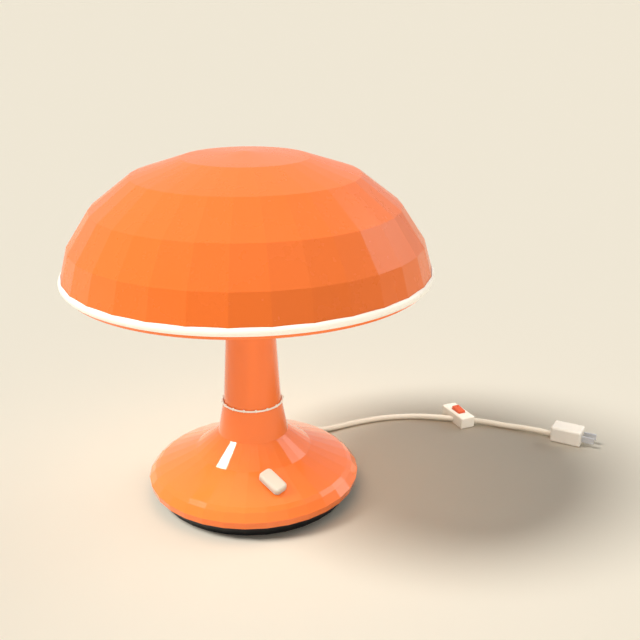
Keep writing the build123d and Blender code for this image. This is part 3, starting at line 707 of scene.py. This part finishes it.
@dataclass(frozen=True)
class Studio:
    """Floor, light and camera.

    Attributes:
        floor_colour: Colour of the floor.
        backdrop_colour: Colour that the camera sees past the floor's edge.
        key_direction: From the lamp towards the key light.
        key_strength: Strength of the key light.
        suns: The rim light and the fills.
        glint: The light behind the white patch on the base.
        floor_reach: Half the width of the floor.
        room_colour: Colour of the even light from the room.
        room_strength: Strength of that light.
        mirrored_colour: Colour of the room as the gloss shows it.
        mirrored_front: Its strength on the camera's side of the lamp.
        mirrored_back: Its strength behind the lamp.
        back_direction: From the lamp away from the camera, level with the floor.
        camera_place: Where the camera stands.
        camera_right: What is on the right in the picture.
        camera_forward: What the camera points at.
        lens: Focal length in millimetres.
        sensor: Width of the camera's sensor in millimetres.
    """

    floor_colour: Colour = (0.965, 0.888, 0.736)
    backdrop_colour: Colour = (0.868, 0.800, 0.662)
    key_direction: Point = (-0.530, -0.415, 0.745)
    key_strength: float = 2.5
    suns: tuple[Sun, ...] = (
        Sun("rim", (0.476, 0.734, 0.485), 0.42, 34.0, (0.92, 0.97, 1.0), mirrored=True),
        Fill("fill_left", (-0.80, -0.50, 0.33), 0.45),
        Fill("fill_front", (0.30, -0.90, 0.30), 0.15),
        Fill("fill_right", (0.95, -0.05, 0.30), 0.5),
        Fill("fill_back", (0.10, 0.95, 0.30), 0.1),
        Fill("fill_top", (0.0, 0.0, 1.0), 1.1),
        Fill("fill_low", (0.35, -0.62, 0.70), 1.25, reach=UNDER_SHADE),
        Fill("fill_high", (-0.2, -0.1, 1.0), 1.3, reach=FACING_UP),
        Fill("fill_base", (0.0, -0.15, 1.0), 2.2, reach=("base_body",)),
        Fill("fill_below", (0.0, 0.0, -1.0), 2.6, reach=SHADE_UNDERSIDE, bounces=1),
    )
    glint: Glint = Glint(
        "glint", (-0.255, -0.186, 0.466), (0.0, -0.051, 0.061), 0.028, 0.22, ("base_body",)
    )
    floor_reach: float = 600.0
    room_colour: Colour = (1.0, 0.99, 0.98)
    room_strength: float = 0.25
    mirrored_colour: Colour = (1.0, 0.95, 0.97)
    mirrored_front: float = 0.08
    mirrored_back: float = 0.65
    back_direction: Point = (-0.485, 0.875, 0.0)
    camera_place: Point = (0.49694, -0.74372, 0.51723)
    camera_right: Point = (0.87468, 0.48469, 0.0)
    camera_forward: Point = (-0.45641, 0.82367, -0.33653)
    lens: float = 50.0
    sensor: float = 36.0

    def build(self) -> None:
        """Build the floor, the lights, the world and the camera."""
        self.lay_floor()
        # One key in two parts. The floor passes its light on to the lamp. The lamp doesn't pass
        # its own on, so that it throws less orange on the floor.
        key_floor = Sun("key_floor", self.key_direction, self.key_strength, reach=FLOOR)
        key_lamp = Sun(
            "key_lamp", self.key_direction, self.key_strength, reach=EVERY_PIECE, bounces=0
        )
        for sun in (key_floor, key_lamp, *self.suns):
            self.add_sun(sun)
        self.add_glint()
        self.set_world()
        self.set_camera()

    def lay_floor(self) -> None:
        """Lay a wide plain floor that shows its own colour and the lamp's shadow."""
        mesh = bpy.data.meshes.new("floor")
        shape = bmesh.new()
        bmesh.ops.create_grid(shape, x_segments=1, y_segments=1, size=self.floor_reach)
        shape.to_mesh(mesh)
        shape.free()
        floor = bpy.data.objects.new("floor", mesh)
        bpy.context.collection.objects.link(floor)
        material = bpy.data.materials.new("floor")
        material.use_nodes = True
        shader = material.node_tree.nodes["Principled BSDF"]
        shader.inputs["Base Color"].default_value = (*self.floor_colour, 1.0)
        shader.inputs["Roughness"].default_value = 1.0
        shader.inputs["Specular IOR Level"].default_value = 0.0
        mesh.materials.append(material)
        floor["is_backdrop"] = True

    @staticmethod
    def limit(lamp: bpy.types.Object, reach: Names | None, shadow: bool, bounces: int) -> None:
        """Set what a light reaches and how far its light goes on.

        Args:
            lamp: The light's object.
            reach: The objects that it lights, EVERY_PIECE for the whole lamp, or None for all.
            shadow: Whether it casts shadows.
            bounces: How often its light is passed on.
        """
        lamp.data.use_shadow = shadow
        lamp.data.cycles.max_bounces = bounces
        if reach is None:
            return
        reached = bpy.data.collections.new(lamp.name)
        for lit in [bpy.data.objects[name] for name in reach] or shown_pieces():
            reached.objects.link(lit)
        lamp.light_linking.receiver_collection = reached

    def add_glint(self) -> None:
        """Add the small near light."""
        glint = self.glint
        light = bpy.data.lights.new(glint.name, "AREA")
        light.shape = "DISK"
        light.size = 2 * glint.radius
        light.energy = glint.power
        light.cycles.use_multiple_importance_sampling = False
        lamp = bpy.data.objects.new(glint.name, light)
        place = Vector(glint.place)
        lamp.location = place
        lamp.rotation_mode = "QUATERNION"
        lamp.rotation_quaternion = (place - Vector(glint.target)).to_track_quat("Z", "Y")
        bpy.context.collection.objects.link(lamp)
        self.limit(lamp, glint.pieces, shadow=False, bounces=0)

    def add_sun(self, sun: Sun) -> None:
        """Add a distant light.

        Args:
            sun: What the light is like.
        """
        light = bpy.data.lights.new(sun.name, "SUN")
        light.energy = sun.strength
        light.angle = math.radians(sun.spread)
        light.color = sun.colour
        lamp = bpy.data.objects.new(sun.name, light)
        lamp.rotation_mode = "QUATERNION"
        lamp.rotation_quaternion = Vector(sun.direction).to_track_quat("Z", "Y")
        bpy.context.collection.objects.link(lamp)
        lamp.visible_glossy = sun.mirrored
        self.limit(lamp, sun.reach, sun.shadow, sun.bounces)

    def set_world(self) -> None:
        """Light the room evenly, mirror it in the gloss and show a plain backdrop."""
        world = bpy.data.worlds.new("room")
        bpy.context.scene.world = world
        world.use_nodes = True
        nodes, link = world.node_tree.nodes, world.node_tree.links.new
        room = nodes["Background"]
        room.inputs["Color"].default_value = (*self.room_colour, 1.0)
        room.inputs["Strength"].default_value = self.room_strength
        mirrored = nodes.new("ShaderNodeBackground")
        mirrored.inputs["Color"].default_value = (*self.mirrored_colour, 1.0)
        way = nodes.new("ShaderNodeTexCoord")
        backwards = nodes.new("ShaderNodeVectorMath")
        backwards.operation = "DOT_PRODUCT"
        backwards.inputs[1].default_value = self.back_direction
        rise = nodes.new("ShaderNodeMapRange")
        rise.inputs["From Min"].default_value = -1.0
        rise.inputs["To Min"].default_value = self.mirrored_front
        rise.inputs["To Max"].default_value = self.mirrored_back
        link(way.outputs["Generated"], backwards.inputs[0])
        link(backwards.outputs["Value"], rise.inputs["Value"])
        link(rise.outputs["Result"], mirrored.inputs["Strength"])
        seen = nodes.new("ShaderNodeBackground")
        seen.inputs["Color"].default_value = (*self.backdrop_colour, 1.0)
        rays = nodes.new("ShaderNodeLightPath")
        glossy = nodes.new("ShaderNodeMixShader")
        link(rays.outputs["Is Glossy Ray"], glossy.inputs["Fac"])
        link(room.outputs["Background"], glossy.inputs[1])
        link(mirrored.outputs["Background"], glossy.inputs[2])
        direct = nodes.new("ShaderNodeMixShader")
        link(rays.outputs["Is Camera Ray"], direct.inputs["Fac"])
        link(glossy.outputs["Shader"], direct.inputs[1])
        link(seen.outputs["Background"], direct.inputs[2])
        through = nodes.new("ShaderNodeMixShader")
        link(rays.outputs["Is Transmission Ray"], through.inputs["Fac"])
        link(direct.outputs["Shader"], through.inputs[1])
        link(seen.outputs["Background"], through.inputs[2])
        link(through.outputs["Shader"], nodes["World Output"].inputs["Surface"])

    def set_camera(self) -> None:
        """Place the camera where the picture was taken from."""
        data = bpy.data.cameras.new("camera")
        data.lens = self.lens
        data.sensor_width = self.sensor
        camera = bpy.data.objects.new("camera", data)
        bpy.context.collection.objects.link(camera)
        right = Vector(self.camera_right).normalized()
        forward = Vector(self.camera_forward).normalized()
        turn = Matrix((right, right.cross(forward), -forward)).transposed()
        camera.matrix_world = Matrix.Translation(self.camera_place) @ turn.to_4x4()
        bpy.context.scene.camera = camera
        bpy.context.scene.view_settings.view_transform = "Standard"


def main() -> None:
    """Build every piece of the lamp, then the studio round it."""
    logging.basicConfig(level=logging.INFO, format="%(name)s: %(message)s")
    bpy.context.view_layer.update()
    effects = Effects()
    materials = {look: look.value.build(effects) for look in Look}
    for assembly in (
        Shade(materials), Stem(materials), Base(materials), Holder(materials), Dimmer(materials),
        CordSet(materials, CordSizes()),
    ):
        assembly.build()
    Studio().build()


if __name__ == "__main__":
    main()
